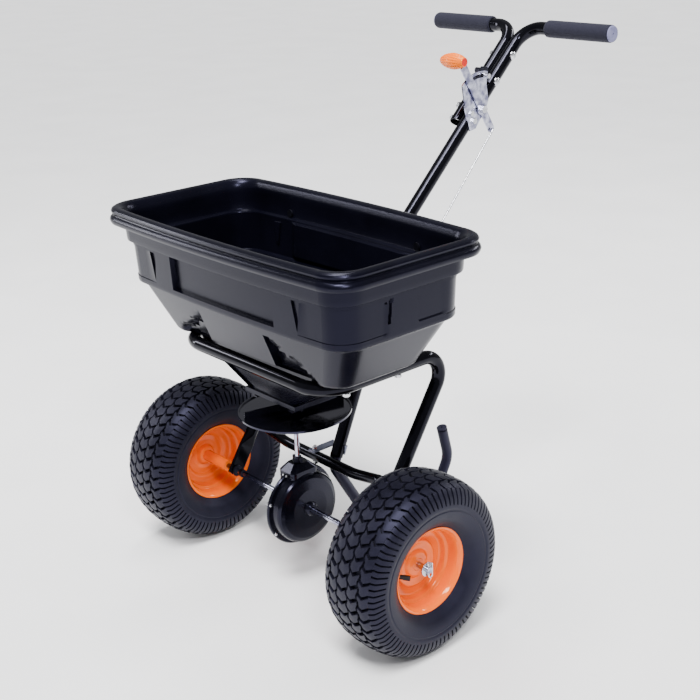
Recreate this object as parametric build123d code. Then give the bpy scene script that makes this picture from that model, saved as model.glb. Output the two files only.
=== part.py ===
from build123d import *
import math
import os

# Walk-behind broadcast spreader, millimetres, +Z up, +X along the axle, -Y the hopper's front side.
# Everything is drawn about the axle line (Y = 0) and moved by Y_SHIFT on export.

# ---- wheels and axle
TYRE_R = 165.0
TYRE_HALF = 67.0
TRACK_HALF = 309.0
RIM_FLANGE_R = 80.0
RIM_HALF = 46.0
AXLE_R = 5.5
AXLE_Z = TYRE_R
AXLE_HALF = 353.0
HUB_R = 11.5
HUB_IN = 232.0
HUB_OUT = 324.0
# ---- hopper: half length, half width at mid side, corner radius, height
SIDE_R = 4100.0
WALL = 3.5
RIM_A, RIM_B, RIM_C, RIM_Z0, RIM_Z1 = 341.0, 182.0, 56.0, 694.0, 726.0
SKIRT_A, SKIRT_B, SKIRT_Z = 317.0, 161.0, 662.0
WALL_TOP_A, WALL_TOP_B = 309.0, 153.0
WALL_LOW_A, WALL_LOW_B, WALL_LOW_Z = 306.0, 150.0, 586.0
BODY_TOP_A, BODY_TOP_B = 296.0, 139.0
BODY_LOW_A, BODY_LOW_B, BODY_LOW_Z = 242.0, 105.0, 493.0
FUNNEL_A, FUNNEL_B = 190.0, 84.0
OUT_A, OUT_B, OUT_Z = 74.0, 58.0, 404.0
# ---- frame
TUBE_R = 12.7
TUBE_WALL = 1.6
LOOP_X = 206.0
LOOP_Z = 480.0
LOOP_FRONT = -100.0
LEG_SLOPE = 0.647
CROSS_R = 10.5
CROSS_Y, CROSS_Z = 54.5, 243.0
# ---- handle
STEM_X = 12.8
STEM_FOOT = (83.9, 239.0)
STEM_BEND = (271.0, 658.0)
GRIP_Y, GRIP_Z = 616.0, 994.0
GRIP_R = 16.5
GRIP_IN, GRIP_OUT = 72.0, 228.0
# ---- stand
STAND_R = 11.0
# ---- spinner drive
SHAFT_R = 4.75
DISC_R = 106.0
DISC_Z = 357.0
GEAR_TEETH, PINION_TEETH, MODULE = 40, 10, 3.0
GEAR_PITCH_R = GEAR_TEETH * MODULE / 2
PINION_PITCH_R = PINION_TEETH * MODULE / 2
PINION_Z = AXLE_Z + GEAR_PITCH_R
# ---- lever
LEVER_X = 31.0
PIVOT = (473.0, 852.0)
LEVER_UP = (-49.0, 81.0)
LEVER_DOWN = (25.0, -41.0)
ROD_R = 2.0
ROD_END = (139.0, 420.0)
SHUTTER_TRAVEL = 22.0

Y_SHIFT = -(-RIM_B + GRIP_Y + GRIP_R) / 2


def save(shape, name):
    shape = Pos(0, Y_SHIFT, 0) * shape
    shape.label = name
    export_step(shape, f"parts/{name}.step")


def group(*solids):
    flat = []
    for s in solids:
        flat.extend(s.solids())
    return Compound(children=flat)


def cyl(radius, a, b):
    # straight rod between two points
    a, b = Vector(*a), Vector(*b)
    plane = Plane(origin=a, z_dir=b - a)
    return extrude(plane * Circle(radius), (b - a).length)


def rod_x(radius, x0, x1, y, z):
    return cyl(radius, (x0, y, z), (x1, y, z))


def hex_x(across, x0, x1, y, z):
    plane = Plane(origin=(x0, y, z), x_dir=(0, 1, 0), z_dir=(1, 0, 0))
    return extrude(plane * RegularPolygon(across / 2, 6, major_radius=False), x1 - x0)


def hex_z(across, x, y, z0, z1):
    return extrude(Plane(origin=(x, y, z0)) * RegularPolygon(across / 2, 6, major_radius=False), z1 - z0)


def spin_x(points, x0=0.0, y0=0.0, z0=AXLE_Z):
    # revolve an (x, r) outline about the axle line
    pl = Plane(origin=(x0, y0, z0), x_dir=(1, 0, 0), z_dir=(0, -1, 0))
    face = make_face(Polyline(*[(x, r) for x, r in points], close=True))
    return revolve(pl * face, Axis((x0, y0, z0), (1, 0, 0)), 360)


def spin_z(points, x0=0.0, y0=0.0):
    # revolve an (r, z) outline about an upright line
    pl = Plane(origin=(x0, y0, 0), x_dir=(1, 0, 0), z_dir=(0, -1, 0))
    face = make_face(Polyline(*[(r, z) for r, z in points], close=True))
    return revolve(pl * face, Axis((x0, y0, 0), (0, 0, 1)), 360)


def bent(points, radii):
    # straight runs joined by tangent arcs
    pts = [Vector(*p) for p in points]
    edges = []
    last = pts[0]
    for i in range(1, len(pts) - 1):
        u = (pts[i - 1] - pts[i]).normalized()
        v = (pts[i + 1] - pts[i]).normalized()
        half = math.radians(u.get_angle(v)) / 2
        cut = radii[i - 1] / math.tan(half)
        p, q = pts[i] + u * cut, pts[i] + v * cut
        mid = (u + v).normalized()
        centre = pts[i] + mid * (radii[i - 1] / math.sin(half))
        edges.append(Edge.make_line(last, p))
        edges.append(Edge.make_three_point_arc(p, centre - mid * radii[i - 1], q))
        last = q
    edges.append(Edge.make_line(last, pts[-1]))
    return Wire(edges)


def tube(points, radii, outer, inner):
    path = bent(points, radii)
    plane = Plane(origin=path @ 0, z_dir=path % 0).rotated((0, 0, 17))
    solid = sweep(plane * Circle(outer), path=path)
    if inner <= 0:
        return solid
    return solid - sweep(plane * Circle(inner), path=path)


# ---------------------------------------------------------------- hopper
def outline(a, b, r, z):
    # plan outline with bowed long sides and tangent corners
    low = b - SIDE_R
    cx = a - r
    cy = low + math.sqrt((SIDE_R - r) ** 2 - cx**2)
    d = Vector(cx, cy - low).normalized()
    t = Vector(0, low) + d * SIDE_R
    m = Vector(cx, cy) + (Vector(1, 0) + d).normalized() * r
    q = [(a, cy), (m.X, m.Y), (t.X, t.Y), (0, b)]

    def pt(i, sx, sy):
        return (sx * q[i][0], sy * q[i][1], z)

    edges = [
        Edge.make_line(pt(0, 1, -1), pt(0, 1, 1)),
        Edge.make_three_point_arc(pt(0, 1, 1), pt(1, 1, 1), pt(2, 1, 1)),
        Edge.make_three_point_arc(pt(2, 1, 1), pt(3, 1, 1), pt(2, -1, 1)),
        Edge.make_three_point_arc(pt(2, -1, 1), pt(1, -1, 1), pt(0, -1, 1)),
        Edge.make_line(pt(0, -1, 1), pt(0, -1, -1)),
        Edge.make_three_point_arc(pt(0, -1, -1), pt(1, -1, -1), pt(2, -1, -1)),
        Edge.make_three_point_arc(pt(2, -1, -1), pt(3, 1, -1), pt(2, 1, -1)),
        Edge.make_three_point_arc(pt(2, 1, -1), pt(1, 1, -1), pt(0, 1, -1)),
    ]
    return Face(Wire(edges))


def stack(sections):
    solid = None
    for lo, hi in zip(sections[:-1], sections[1:]):
        if lo[3] == hi[3]:
            continue
        piece = loft([outline(*lo), outline(*hi)], ruled=True)
        solid = piece if solid is None else solid + piece
    return solid


def panel(x0, x1, y0, y1, z0, z1):
    return Pos((x0 + x1) / 2, (y0 + y1) / 2, (z0 + z1) / 2) * Box(x1 - x0, y1 - y0, z1 - z0)


def hopper():
    t = WALL
    outer = stack([
        (OUT_A, OUT_B, 20, OUT_Z),
        (FUNNEL_A, FUNNEL_B, 34, BODY_LOW_Z - 14),
        (FUNNEL_A, FUNNEL_B, 34, BODY_LOW_Z),
    ])
    outer += stack([
        (BODY_LOW_A, BODY_LOW_B, 38, BODY_LOW_Z),
        (BODY_TOP_A, BODY_TOP_B, 46, WALL_LOW_Z - 6),
        (WALL_LOW_A, WALL_LOW_B, 48, WALL_LOW_Z),
        (WALL_TOP_A, WALL_TOP_B, 48, SKIRT_Z),
    ])
    outer += stack([(SKIRT_A, SKIRT_B, 50, SKIRT_Z), (SKIRT_A + 2, SKIRT_B + 2, 51, RIM_Z0 + 6)])
    # rolled rim: upper bead over a lower bead with a shallow groove between them
    outer += stack([
        (RIM_A - 6, RIM_B - 6, RIM_C - 6, RIM_Z0),
        (RIM_A, RIM_B, RIM_C, RIM_Z0 + 5),
        (RIM_A, RIM_B, RIM_C, RIM_Z0 + 13),
        (RIM_A - 4, RIM_B - 4, RIM_C - 4, RIM_Z0 + 16),
        (RIM_A - 2, RIM_B - 2, RIM_C - 2, RIM_Z0 + 19),
        (RIM_A - 4, RIM_B - 4, RIM_C - 4, RIM_Z0 + 27),
        (RIM_A - 10, RIM_B - 10, RIM_C - 10, RIM_Z1),
    ])
    inner = stack([
        (OUT_A - t, OUT_B - t, 17, OUT_Z - 1),
        (OUT_A - t, OUT_B - t, 17, OUT_Z + 3),
        (FUNNEL_A - t, FUNNEL_B - t, 31, BODY_LOW_Z + t),
        (BODY_LOW_A - t, BODY_LOW_B - t, 35, BODY_LOW_Z + t + 1),
        (BODY_TOP_A - t, BODY_TOP_B - t, 43, WALL_LOW_Z - 2),
        (WALL_LOW_A - t, WALL_LOW_B - t, 45, WALL_LOW_Z + 4),
        (WALL_TOP_A - t, WALL_TOP_B - t, 45, SKIRT_Z + t),
        (SKIRT_A - t, SKIRT_B - t, 47, SKIRT_Z + t + 1),
        (SKIRT_A - t, SKIRT_B - t, 47, RIM_Z1 - 8),
        (SKIRT_A + 1, SKIRT_B + 1, 48, RIM_Z1 - 2),
        (SKIRT_A + 4, SKIRT_B + 4, 50, RIM_Z1 + 1),
    ])
    # front and rear: a wide sunk panel in the wall band, a square block in the lower body
    for s in (-1, 1):
        lo, hi = sorted((s * (WALL_LOW_B - 10), s * 200))
        outer -= panel(-145, 145, lo, hi, WALL_LOW_Z + 10, SKIRT_Z - 2)
        lo, hi = sorted((s * (WALL_LOW_B - 10 - t), s * 200))
        inner -= panel(-145 - t, 145 + t, lo, hi, WALL_LOW_Z + 10 - t, SKIRT_Z - 2 + t)
        lo, hi = sorted((s * 60, s * (BODY_TOP_B - 1)))
        outer += panel(-93, 93, lo, hi, BODY_LOW_Z + 12, WALL_LOW_Z - 3)
        lo, hi = sorted((s * 60, s * (BODY_TOP_B - 1 - t)))
        inner += panel(-93 + t, 93 - t, lo, hi, BODY_LOW_Z + 12 + t, WALL_LOW_Z - 3)
    # the rolled rim is hollow from below
    under = stack([(RIM_A - 3, RIM_B - 3, RIM_C - 3, RIM_Z0 - 1), (RIM_A - 3, RIM_B - 3, RIM_C - 3, RIM_Z0 + 13),
                   (RIM_A - 9, RIM_B - 9, RIM_C - 9, RIM_Z0 + 25)])
    under -= stack([(SKIRT_A + 2, SKIRT_B + 2, 51, RIM_Z0 - 2), (SKIRT_A + 4, SKIRT_B + 4, 53, RIM_Z0 + 26)])
    body = outer - inner - under
    # through holes for the four bolts that hold the hopper down on the frame
    for x, y in BOLT_SPOTS:
        body -= cyl(3.3, (x, y, BODY_LOW_Z - 4), (x, y, BODY_LOW_Z + 12))
    for s in (-1, 1):
        body -= cyl(2.6, (s * 176, 100, 676), (s * 176, 190, 676))
    return body


BOLT_SPOTS = [(s * LOOP_X, y) for s in (-1, 1) for y in (-48, 72)]


def hopper_base():
    # outlet plate under the funnel with two ports, guide rails and a centre bush
    base = panel(-OUT_A + 1, OUT_A - 1, -OUT_B + 1, OUT_B - 1, OUT_Z - 8, OUT_Z)
    base -= ports(0)
    for s in (-1, 1):
        rail = panel(52, 60, -52, 52, OUT_Z - 14, OUT_Z - 8)
        lip = panel(46, 60, -52, 52, OUT_Z - 17, OUT_Z - 14)
        both = rail + lip
        base += both if s > 0 else mirror(both, Plane.YZ)
    base -= cyl(SHAFT_R + 0.08, (0, 0, OUT_Z - 20), (0, 0, OUT_Z + 4))
    return base


def ports(dy):
    cut = None
    for s in (-1, 1):
        c = Pos(s * 26, 8 + dy, OUT_Z - 8) * Box(24, 20, 40)
        cut = c if cut is None else cut + c
    return cut


def shutter():
    # sliding gate with ports one travel behind the base ports, and a rear lug for the rod
    z0, z1 = OUT_Z - 13.2, OUT_Z - 8.8
    gate = panel(-51, 51, -46, 58, z0, z1)
    gate -= ports(SHUTTER_TRAVEL)
    slot = panel(-7, 7, 0, SHUTTER_TRAVEL, z0 - 1, z1 + 1)
    slot += cyl(7, (0, 0, z0 - 1), (0, 0, z1 + 1))
    slot += cyl(7, (0, SHUTTER_TRAVEL, z0 - 1), (0, SHUTTER_TRAVEL, z1 + 1))
    gate -= slot
    y, z = ROD_END
    arm = panel(26, 33, 50, y + 9, z0, z1)
    lug = panel(29, 33, y - 9, y + 9, z0, z + 14)
    lug -= panel(28, 34, y - 2.8, y + 2.8, z - 10, z + 2.6)
    return gate + arm + lug


def frame_bolts():
    out = []
    for x, y in BOLT_SPOTS:
        out.append(hex_z(11, x, y, BODY_LOW_Z + WALL + 1.2, BODY_LOW_Z + WALL + 6))
        out[-1] += cyl(3.2, (x, y, LOOP_Z - TUBE_R - 6), (x, y, BODY_LOW_Z + WALL + 1.2))
        out[-1] += hex_z(11, x, y, LOOP_Z - TUBE_R - 5, LOOP_Z - TUBE_R)
    return group(*out)


def wall_screws():
    out = []
    for s in (-1, 1):
        x, y = s * 176, SKIRT_B - 7.0
        head = cyl(7, (x, y - 4.5, 676), (x, y - 1.0, 676))
        shank = cyl(2.5, (x, y - 1.0, 676), (x, y + 14, 676))
        out.append(head + shank)
    return group(*out)


# ---------------------------------------------------------------- frame
def leg_point(z):
    return (z - AXLE_Z) * LEG_SLOPE


def frame_loop():
    top = leg_point(LOOP_Z)
    low = 232.0
    pts = [
        (-LOOP_X, leg_point(low), low),
        (-LOOP_X, top, LOOP_Z),
        (-LOOP_X, LOOP_FRONT, LOOP_Z),
        (LOOP_X, LOOP_FRONT, LOOP_Z),
        (LOOP_X, top, LOOP_Z),
        (LOOP_X, leg_point(low), low),
    ]
    loop = tube(pts, [38, 60, 60, 38], TUBE_R, TUBE_R - TUBE_WALL)
    for s in (-1, 1):
        loop += leg_foot(s)
    for x, y in BOLT_SPOTS:
        loop -= cyl(3.3, (x, y, LOOP_Z - 20), (x, y, LOOP_Z + 20))
    return loop


def leg_foot(s):
    # tube end pressed flat into a paddle that carries the axle
    low = 232.0
    d = Vector(0, LEG_SLOPE, 1).normalized()
    at = Vector(s * LOOP_X, leg_point(low), low)
    start = Plane(origin=at + d * 4, x_dir=(1, 0, 0), z_dir=-d)
    top = Plane(origin=at - d * 0.5, x_dir=(1, 0, 0), z_dir=-d)
    flat = Plane(origin=at - d * 26, x_dir=(1, 0, 0), z_dir=-d)
    taper = loft([start * RectangleRounded(24.4, 24.4, 12.1), top * RectangleRounded(24.8, 24.8, 12.3),
                  flat * RectangleRounded(7, 35, 3.4)], ruled=True)
    paddle = extrude(flat * RectangleRounded(7, 35, 3.4), 62)
    foot = taper + paddle
    foot -= rod_x(9.0, s * LOOP_X - 10, s * LOOP_X + 10, 0, AXLE_Z)
    return foot


def axle_bushes():
    out = []
    for s in (-1, 1):
        x = s * LOOP_X
        pts = [(-3.5, 9), (3.5, 9), (3.5, 11.5), (6, 11.5), (6, AXLE_R + 0.06), (-6, AXLE_R + 0.06), (-6, 11.5), (-3.5, 11.5)]
        pts = [(s * p, r) for p, r in pts]
        out.append(spin_x(pts, x0=x))
    return group(*out)


def cross_tube():
    # bowed tube behind the shaft, its ends pressed flat against the legs' inner sides
    end = LOOP_X - TUBE_R
    pts = [
        (-end + 30, CROSS_Y + 1.5, CROSS_Z + 9),
        (-100, CROSS_Y, CROSS_Z),
        (100, CROSS_Y, CROSS_Z),
        (end - 30, CROSS_Y + 1.5, CROSS_Z + 9),
    ]
    bar = tube(pts, [160, 160], CROSS_R, CROSS_R - 1.5)
    for s in (-1, 1):
        d = Vector(s * (end - 130), 1.5, 9).normalized()
        at = Vector(s * (end - 30), CROSS_Y + 1.5, CROSS_Z + 9)
        near = Plane(origin=at - d * 4, x_dir=(0, 1, 0), z_dir=d)
        edge = Plane(origin=at + d * 0.5, x_dir=(0, 1, 0), z_dir=d)
        far = Plane(origin=at + d * 20, x_dir=(0, 1, 0), z_dir=d)
        bar += loft([near * RectangleRounded(20.2, 20.2, 10), edge * RectangleRounded(20.5, 20.5, 10.2),
                     far * RectangleRounded(27, 6, 2.9)], ruled=True)
        bar += extrude(far * RectangleRounded(27, 6, 2.9), 9.7)
    bar -= cyl(3.1, (STRAP_X, CROSS_Y, CROSS_Z - 20), (STRAP_X, CROSS_Y, CROSS_Z + 20))
    return bar


STRAP_X = -14.0


def stem_at(z):
    (y0, z0), (y1, z1) = STEM_FOOT, STEM_BEND
    return y0 + (z - z0) * (y1 - y0) / (z1 - z0)


def brace_strap():
    # flat zinc strap from the cross tube back past the stem, closed by a half band behind it
    z = CROSS_Z + CROSS_R
    (y0, z0), (y1, z1) = STEM_FOOT, STEM_BEND
    d = Vector(0, y1 - y0, z1 - z0).normalized()
    at = Vector(STEM_X, stem_at(z + 1.5), z + 1.5)
    strap = panel(STRAP_X - 9, STRAP_X + 9, CROSS_Y - 9, at.Y + 16, z, z + 3)
    band = extrude(Plane(origin=at - d * 9, z_dir=d) * Circle(TUBE_R + 3.1), 18)
    behind = panel(STRAP_X, 60, at.Y + 3, at.Y + 60, z - 20, z + 40)
    strap += band & behind
    strap += panel(STRAP_X, STEM_X - 8, at.Y + 4, at.Y + 16, z, z + 3)
    strap -= extrude(Plane(origin=at - d * 40, z_dir=d) * Circle(TUBE_R + 0.1), 80)
    strap -= cyl(3.1, (STRAP_X, CROSS_Y, z - 5), (STRAP_X, CROSS_Y, z + 8))
    return strap


def strap_bolt():
    x, y = STRAP_X, CROSS_Y
    z = CROSS_Z + CROSS_R + 3
    low = CROSS_Z - CROSS_R
    bolt = cyl(3.0, (x, y, low - 7), (x, y, z + 8))
    bolt += hex_z(10, x, y, z, z + 5)
    bolt += hex_z(10, x, y, low - 5, low)
    return bolt


# ---------------------------------------------------------------- handle and stand
def stem_tube():
    (y0, z0), (y1, z1) = STEM_FOOT, STEM_BEND
    pts = [(STEM_X, y0, z0), (STEM_X, y1, z1), (STEM_X, GRIP_Y, GRIP_Z), (GRIP_OUT - 8, GRIP_Y, GRIP_Z)]
    bar = tube(pts, [90, 44], TUBE_R, STAND_R)
    return bar - cross_holes()


def handle_tube():
    # short second handle tube, lying beside the long one
    k = (GRIP_Z - STEM_BEND[1]) / (GRIP_Y - STEM_BEND[0])
    y = 446.0
    z = STEM_BEND[1] + (y - STEM_BEND[0]) * k
    pts = [(-STEM_X, y, z), (-STEM_X, GRIP_Y, GRIP_Z), (-GRIP_OUT + 8, GRIP_Y, GRIP_Z)]
    bar = tube(pts, [44], TUBE_R, STAND_R)
    return bar - cross_holes()


def handle_line(y):
    k = (GRIP_Z - STEM_BEND[1]) / (GRIP_Y - STEM_BEND[0])
    return STEM_BEND[1] + (y - STEM_BEND[0]) * k


BOLT_Y = (520.0, 566.0)
PLATE_BOLT_Y = 449.0


def cross_holes():
    cut = None
    for y in BOLT_Y:
        c = rod_x(3.3, -60, 60, y, handle_line(y))
        cut = c if cut is None else cut + c
    cut += rod_x(3.3, -60, 60, PLATE_BOLT_Y + 3, handle_line(PLATE_BOLT_Y + 3))
    cut += rod_x(4.1, -60, 60, PIVOT[0], handle_line(PIVOT[0]))
    return cut


def handle_bolts():
    out = []
    for y in BOLT_Y:
        z = handle_line(y)
        edge = STEM_X + TUBE_R
        b = rod_x(3.2, -edge - 6, edge, y, z)
        b += spin_x([(edge, 0), (edge, 8), (edge + 2, 7.4), (edge + 4, 4.5), (edge + 4.6, 0)], y0=y, z0=z)
        b += hex_x(11, -edge - 5, -edge, y, z)
        out.append(b)
    return group(*out)


def grip(s):
    a, b = (GRIP_IN, GRIP_OUT - 3)
    pts = [(a, TUBE_R), (a, GRIP_R - 1.5), (a + 1.5, GRIP_R), (b - 1.5, GRIP_R), (b, GRIP_R - 1), (b, TUBE_R)]
    pts = [(s * x, r) for x, r in pts]
    return spin_x(pts, y0=GRIP_Y, z0=GRIP_Z)


def grip_caps():
    out = []
    for s in (-1, 1):
        b = GRIP_OUT - 3
        pts = [(b, 0), (b, GRIP_R - 1), (b + 2, GRIP_R - 1.6), (b + 3, GRIP_R - 4), (b + 3, 2), (b + 1.6, 2), (b + 1.6, 0)]
        out.append(spin_x([(s * x, r) for x, r in pts], y0=GRIP_Y, z0=GRIP_Z))
    return group(*out)


STAND_PATH = [(102.0, 279.5), (76.4, 222.2), (202.0, STAND_R - 0.4), (322.0, STAND_R - 0.4), (391.0, 136.0), (374.0, 203.0)]


def stand_tube():
    pts = [(STEM_X, y, z) for y, z in STAND_PATH]
    leg = tube(pts, [29, 60, 60, 46], STAND_R, STAND_R - 1.6)
    # worn flat along the foot
    leg -= Pos(STEM_X, 260, -STAND_R) * Box(60, 500, 2 * STAND_R)
    return leg


def stand_cap():
    (y0, z0), (y1, z1) = STAND_PATH[-2], STAND_PATH[-1]
    d = Vector(0, y1 - y0, z1 - z0).normalized()
    at = Vector(STEM_X, y1, z1) + d * 2
    cap = extrude(Plane(origin=at, z_dir=d) * Circle(STAND_R), 3)
    cap += extrude(Plane(origin=at, z_dir=-d) * Circle(STAND_R - 3.2), 6)
    cap = fillet(cap.edges().filter_by(GeomType.CIRCLE).sort_by(Axis.Z)[-1:], 1.2)
    cap -= extrude(Plane(origin=at + d * 4, z_dir=-d) * Circle(2), 5)
    return cap


# ---------------------------------------------------------------- lever group
def at_pivot(dy, dz):
    return (PIVOT[0] + dy, handle_line(PIVOT[0]) + dz)


PLATE_X0 = STEM_X + TUBE_R
PLATE_T = 2.6


def yz_plate(points, x0, t):
    pl = Plane(origin=(x0, 0, 0), x_dir=(0, 1, 0), z_dir=(1, 0, 0))
    return extrude(pl * make_face(Polyline(*points, close=True)), t)


def arc_points(r, a0, a1, n=18):
    # angles from straight up, positive towards the rear
    cy, cz = at_pivot(0, 0)
    out = []
    for i in range(n + 1):
        a = math.radians(a0 + (a1 - a0) * i / n)
        out.append((cy + r * math.sin(a), cz + r * math.cos(a)))
    return out


PLATE_R = 72.0
SLOT_R = (59.5, 66.5)
STOP_R, STOP_ANGLE = 63.0, 9.0
# small bolt beside the tube: it holds the plate's folded edge
SMALL_BOLT = (446.0, 849.5)


def quadrant_plate():
    # slotted sector above the pivot with a narrower foot that is bolted on the tube
    right = [at_pivot(15, 45), at_pivot(21, 14), at_pivot(13, -7), at_pivot(-2, -20)]
    foot = [at_pivot(-15, -36), at_pivot(-31, -39), at_pivot(-43.5, 3)]
    shape = yz_plate(arc_points(PLATE_R, -46, 15) + right + foot, PLATE_X0, PLATE_T)
    slot = arc_points(SLOT_R[1], -36, 12.4) + list(reversed(arc_points(SLOT_R[0], -36, 12.4)))
    shape -= yz_plate(slot, PLATE_X0 - 1, PLATE_T + 2)
    shape -= rod_x(4.1, PLATE_X0 - 1, PLATE_X0 + 6, *at_pivot(0, 0))
    shape -= rod_x(3.3, PLATE_X0 - 1, PLATE_X0 + 6, PLATE_BOLT_Y + 3, handle_line(PLATE_BOLT_Y + 3))
    shape -= rod_x(2.6, PLATE_X0 - 1, PLATE_X0 + 6, *SMALL_BOLT)
    return shape


def quadrant_bolts():
    # one through bolt below the pivot, head on the plate and nut on the far tube's side, and one small bolt
    y = PLATE_BOLT_Y + 3
    z = handle_line(y)
    x1 = PLATE_X0 + PLATE_T
    b = rod_x(3.2, -STEM_X - TUBE_R - 6, x1, y, z) + hex_x(11, x1, x1 + 4.5, y, z)
    b += hex_x(11, -STEM_X - TUBE_R - 5, -STEM_X - TUBE_R, y, z)
    small = rod_x(2.5, PLATE_X0 - 6, x1, *SMALL_BOLT) + hex_x(9, x1, x1 + 3.0, *SMALL_BOLT)
    small += hex_x(9, PLATE_X0 - 4, PLATE_X0, *SMALL_BOLT)
    return group(b, small)


def pivot_bolt():
    y, z = at_pivot(0, 0)
    x1 = LEVER_X + 1.5
    b = rod_x(4.0, -STEM_X - TUBE_R - 8, x1 + 0.4, y, z)
    b += rod_x(7.5, PLATE_X0 + PLATE_T, LEVER_X - 1.9, y, z)
    b += hex_x(14, x1 + 0.4, x1 + 6.4, y, z)
    b += hex_x(14, -STEM_X - TUBE_R - 6, -STEM_X - TUBE_R, y, z)
    return b


def stop_spot():
    cy, cz = at_pivot(0, 0)
    a = math.radians(STOP_ANGLE)
    return cy + STOP_R * math.sin(a), cz + STOP_R * math.cos(a)


def stop_bolt():
    y, z = stop_spot()
    x1 = PLATE_X0 + PLATE_T
    b = rod_x(3.0, PLATE_X0 - 15, x1 + 12, y, z) + hex_x(9, x1, x1 + 3, y, z)
    return b + rod_x(4.4, x1 + 3, x1 + 12, y, z)


def stop_knob():
    # five-lobed hand knob behind the plate
    y, z = stop_spot()
    pl = Plane(origin=(PLATE_X0 - 0.2, y, z), x_dir=(0, 1, 0), z_dir=(-1, 0, 0))
    head = pl * Circle(12)
    for i in range(5):
        a = math.radians(72 * i + 18)
        head += pl * Pos(12.5 * math.cos(a), 12.5 * math.sin(a)) * Circle(5.6)
    return extrude(head, 12) - rod_x(3.0, PLATE_X0 - 20, PLATE_X0 + 5, y, z)


def lever_arm():
    # flat bar, bored for its pivot and for the rod at its lower end
    up, dn = Vector(0, *LEVER_UP), Vector(0, *LEVER_DOWN)
    u = up.normalized()
    n = Vector(0, u.Z, -u.Y)
    c = Vector(0, *at_pivot(0, 0))
    half = 8.0
    top = c + up + u * 6
    low = c + dn
    pts = [top + n * half, low + n * half, low - n * half, top - n * half]
    bar = yz_plate([(p.Y, p.Z) for p in pts], LEVER_X - 1.5, 3)
    bar += rod_x(half, LEVER_X - 1.5, LEVER_X + 1.5, low.Y, low.Z)
    bar += rod_x(12, LEVER_X - 1.5, LEVER_X + 1.5, *at_pivot(0, 0))
    bar -= rod_x(4.06, LEVER_X - 5, LEVER_X + 5, *at_pivot(0, 0))
    bar -= rod_x(ROD_R + 0.06, LEVER_X - 5, LEVER_X + 5, low.Y, low.Z)
    return bar


def lever_knob():
    y, z = at_pivot(LEVER_UP[0] * 1.18, LEVER_UP[1] * 1.18)
    pts = [(-21, 0), (-21, 6), (-18, 9), (-10, 13), (2, 15.5), (16, 15.5), (28, 13), (34, 9.5), (40, 8.5), (40, 0)]
    knob = spin_x(pts, y0=y, z0=z)
    up = Vector(0, *LEVER_UP).normalized()
    n = Vector(0, up.Z, -up.Y)
    c = Vector(0, *at_pivot(0, 0))
    top = c + Vector(0, *LEVER_UP) + up * 6
    pts = [top + n * 8, c + n * 8, c - n * 8, top - n * 8]
    knob -= yz_plate([(p.Y, p.Z) for p in pts], LEVER_X - 1.5, 3)
    return knob


ROD_X = LEVER_X + 7.0


def control_rod():
    a = at_pivot(*LEVER_DOWN)
    b = ROD_END
    pts = [(LEVER_X - 6, *a), (ROD_X, *a), (ROD_X, *b), (26.5, *b)]
    bar = tube(pts, [4, 4], ROD_R, 0)
    return bar


# ---------------------------------------------------------------- gearbox
GB_LEFT, GB_RIGHT = -22.5, 28.5
FLANGE_R = 80.0
SCREW_R = 76.4
NECK_TOP = 255.0


def gearbox_shell():
    # both halves as one closed shell, still unsplit: a deep dome towards +X, a shallow one behind the flange
    body = spin_x([(GB_LEFT, 0), (GB_LEFT, 52), (GB_LEFT + 6, 60), (-3.5, 66), (-3.5, FLANGE_R - 2), (-1.5, FLANGE_R),
                   (1.5, FLANGE_R), (3.5, FLANGE_R - 2), (3.5, 72.4), (19, 71), (22.5, 69.8), (25.5, 67), (GB_RIGHT, 60),
                   (GB_RIGHT + 2.5, 40), (GB_RIGHT + 3, 0)])
    neck = Plane(origin=(0, 0, 222)) * RectangleRounded(45, 62, 9)
    body += extrude(neck, 20)
    body += loft([Plane(origin=(0, 0, 242)) * RectangleRounded(45, 62, 9),
                  Plane(origin=(0, 0, NECK_TOP)) * RectangleRounded(27, 34, 6)])
    body += spin_x([(GB_LEFT - 6, 0), (GB_LEFT - 6, 11), (GB_LEFT, 14), (GB_RIGHT, 16), (GB_RIGHT + 8, 13), (GB_RIGHT + 11, 10),
                    (GB_RIGHT + 11, 0)])
    body -= spin_x([(GB_LEFT + 3, 0), (GB_LEFT + 3, 50), (GB_LEFT + 8, 57), (-3.5, 63), (3.5, 69.4), (19, 68), (24, 66.3),
                    (25.4, 60), (GB_RIGHT - 1, 40), (GB_RIGHT - 1, 13), (GB_RIGHT + 6, 11), (GB_RIGHT + 6, 0)])
    body -= panel(-19, 19, -19.5, 19.5, 212, 234)
    body -= rod_x(AXLE_R + 0.08, -90, 90, 0, AXLE_Z)
    body -= cyl(SHAFT_R + 0.08, (0, 0, 200), (0, 0, 300))
    for y, z in screw_spots():
        body -= rod_x(2.4, -20, 20, y, z)
        body -= rod_x(4.4, -20, -3.5, y, z)
        body -= rod_x(3.6, 3.5, 12, y, z)
    return body


def screw_spots():
    out = []
    for a in (66, 114, 18, 162, -32, 212):
        t = math.radians(a)
        out.append((SCREW_R * math.cos(t), AXLE_Z + SCREW_R * math.sin(t)))
    return out


def gearbox_half(s):
    lo, hi = (0, 100) if s > 0 else (-100, 0)
    return gearbox_shell() & panel(lo, hi, -120, 120, 40, 320)


def gearbox_screws():
    out = []
    for y, z in screw_spots():
        b = rod_x(2.3, -3.5, 3.5, y, z)
        b += spin_x([(3.5, 0), (3.5, 3.4), (5.2, 3.0), (6, 1.6), (6, 0)], y0=y, z0=z)
        b += hex_x(5.5, -6.5, -3.5, y, z)
        out.append(b)
    return group(*out)


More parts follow.
